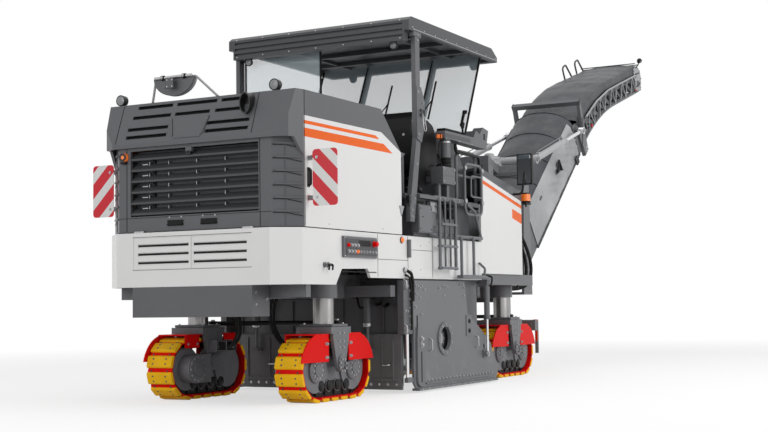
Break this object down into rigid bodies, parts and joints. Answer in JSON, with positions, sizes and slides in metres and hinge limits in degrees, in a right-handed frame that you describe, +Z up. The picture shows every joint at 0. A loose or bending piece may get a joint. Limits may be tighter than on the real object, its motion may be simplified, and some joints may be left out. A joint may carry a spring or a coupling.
{
  "type": "cold planer milling machine",
  "caption": "Road milling machine on steered crawler tracks with a drum, an open canopy platform and a slewing, folding front discharge conveyor.",
  "frame": {"origin": "on the ground, midway along the machine's overall length, in its middle plane", "axes": "+X forward to the discharge conveyor, +Y to the machine's left, +Z up"},
  "size_m": [12.563, 2.87, 5.1905],
  "materials": {
    "white_paint": "gloss",
    "dark_grey_paint": "satin",
    "grey_paint": "satin",
    "black_paint": "satin",
    "bare_steel": "satin",
    "red_paint": "gloss",
    "yellow_pad": "matt",
    "black_rubber": "matt",
    "tinted_glass": "clear",
    "seat_vinyl": "matt",
    "tarpaulin_dark": "matt",
    "warning_sheet": "satin",
    "cast_grey": "satin",
    "hydraulic_chrome": "polished"
  },
  "bodies": {
    "machine": {"chassis_frame": "grey_paint", "rear_beam": "dark_grey_paint", "lower_body": "white_paint", "engine_and_cooler": "cast_grey", "platform_deck": "grey_paint", "front_body": "white_paint", "drum_housing": "grey_paint", "primary_conveyor": "grey_paint", "operator_station": "grey_paint", "seat_cushions": "seat_vinyl", "rails_and_ladder": "grey_paint", "control_box": "grey_paint", "front_mirror_and_beacon": "black_paint", "front_bracket": "grey_paint", "canopy_roof": "dark_grey_paint", "canopy_posts": "dark_grey_paint", "canopy_glass": "tinted_glass"},
    "hood": {"hood_sides": "white_paint", "hood_cowl": "dark_grey_paint", "hood_grille": "dark_grey_paint", "hood_fittings": "black_paint", "warning_plates": "warning_sheet"},
    "drum": {"milling_drum": "cast_grey"},
    "right_side_plate": {"side_plate_right": "grey_paint"},
    "left_side_plate": {"side_plate_left": "grey_paint"},
    "scraper": {"scraper_blade": "cast_grey"},
    "slew_turret": {"slew_yoke": "grey_paint"},
    "conveyor_lower": {"conveyor_frame_lower": "grey_paint", "conveyor_belt_lower": "black_rubber", "conveyor_cover_lower": "tarpaulin_dark"},
    "conveyor_upper": {"conveyor_frame_upper": "grey_paint", "conveyor_belt_upper": "black_rubber", "conveyor_cover_upper": "tarpaulin_dark"},
    "luff_barrel_pair": {"luff_barrels": "black_paint"},
    "luff_rod_pair": {"luff_rods": "hydraulic_chrome"},
    "rear_tie_rod": {"tie_rod_rear": "grey_paint"},
    "front_tie_rod": {"tie_rod_front": "grey_paint"},
    "track_rear_right": {"track_carrier_rear_right": "cast_grey", "track_belt_rear_right": "yellow_pad", "track_guard_rear_right": "red_paint"},
    "track_rear_left": {"track_carrier_rear_left": "cast_grey", "track_belt_rear_left": "yellow_pad", "track_guard_rear_left": "red_paint"},
    "track_front_right": {"track_carrier_front_right": "cast_grey", "track_belt_front_right": "yellow_pad", "track_guard_front_right": "red_paint"},
    "track_front_left": {"track_carrier_front_left": "cast_grey", "track_belt_front_left": "yellow_pad", "track_guard_front_left": "red_paint"}
  },
  "joints": [
    {"name": "hood_tilt", "type": "hinge", "parent": "machine", "child": "hood", "pos_m": [-4.11227, 0, 2.5], "axis": [0, 1, 0], "range_deg": [0, 50]},
    {"name": "drum_spin", "type": "hinge", "parent": "machine", "child": "drum", "pos_m": [-3.23727, 0, 0.55], "axis": [0, 1, 0], "continuous": true},
    {"name": "side_plate_right_lift", "type": "slide", "parent": "machine", "child": "right_side_plate", "axis": [0, 0, 1], "range_m": [0, 0.28]},
    {"name": "side_plate_left_lift", "type": "slide", "parent": "machine", "child": "left_side_plate", "axis": [0, 0, 1], "range_m": [0, 0.28]},
    {"name": "scraper_lift", "type": "slide", "parent": "machine", "child": "scraper", "axis": [0, 0, 1], "range_m": [0, 0.25]},
    {"name": "conveyor_slew", "type": "hinge", "parent": "machine", "child": "slew_turret", "pos_m": [0.68273, 0, 1.507], "axis": [0, 0, 1], "range_deg": [-60, 60]},
    {"name": "conveyor_raise", "type": "hinge", "parent": "slew_turret", "child": "conveyor_lower", "pos_m": [0.68273, 0, 1.507], "axis": [0, -1, 0], "range_deg": [-20, 3]},
    {"name": "conveyor_fold", "type": "hinge", "parent": "conveyor_lower", "child": "conveyor_upper", "pos_m": [3.21152, 0, 3.31294], "axis": [0, 1, 0], "range_deg": [0, 60]},
    {"name": "luff_barrel_turn", "type": "hinge", "parent": "slew_turret", "child": "luff_barrel_pair", "pos_m": [0.88273, 0, 2.93], "axis": [0, -1, 0], "range_deg": [-24, 4]},
    {"name": "luff_rod_slide", "type": "slide", "parent": "luff_barrel_pair", "child": "luff_rod_pair", "axis": [0.953, 0, 0.303], "range_m": [-0.08, 0.5]},
    {"name": "steer_rear_left", "type": "hinge", "parent": "machine", "child": "track_rear_left", "pos_m": [-5.16727, 0.76, 0], "axis": [0, 0, 1], "range_deg": [-25, 25]},
    {"name": "steer_rear_right", "type": "hinge", "parent": "machine", "child": "track_rear_right", "pos_m": [-5.16727, -0.76, 0], "axis": [0, 0, 1], "range_deg": [-25, 25]},
    {"name": "tie_rod_rear_turn", "type": "hinge", "parent": "track_rear_left", "child": "rear_tie_rod", "pos_m": [-4.90727, 0.76, 0.755], "axis": [0, 0, 1], "range_deg": [-25, 25]},
    {"name": "steer_front_left", "type": "hinge", "parent": "machine", "child": "track_front_left", "pos_m": [-0.74727, 0.76, 0], "axis": [0, 0, 1], "range_deg": [-25, 25]},
    {"name": "steer_front_right", "type": "hinge", "parent": "machine", "child": "track_front_right", "pos_m": [-0.74727, -0.76, 0], "axis": [0, 0, 1], "range_deg": [-25, 25]},
    {"name": "tie_rod_front_turn", "type": "hinge", "parent": "track_front_left", "child": "front_tie_rod", "pos_m": [-0.48727, 0.76, 0.755], "axis": [0, 0, 1], "range_deg": [-25, 25]}
  ],
  "couplings": [
    {"joint": "luff_barrel_turn", "follows": "conveyor_raise", "ratio": 1.15},
    {"joint": "luff_rod_slide", "follows": "conveyor_raise", "m_per_rad": -1.385},
    {"joint": "steer_rear_right", "follows": "steer_rear_left", "ratio": 1},
    {"joint": "tie_rod_rear_turn", "follows": "steer_rear_left", "ratio": -1},
    {"joint": "steer_front_right", "follows": "steer_front_left", "ratio": 1},
    {"joint": "tie_rod_front_turn", "follows": "steer_front_left", "ratio": -1}
  ]
}
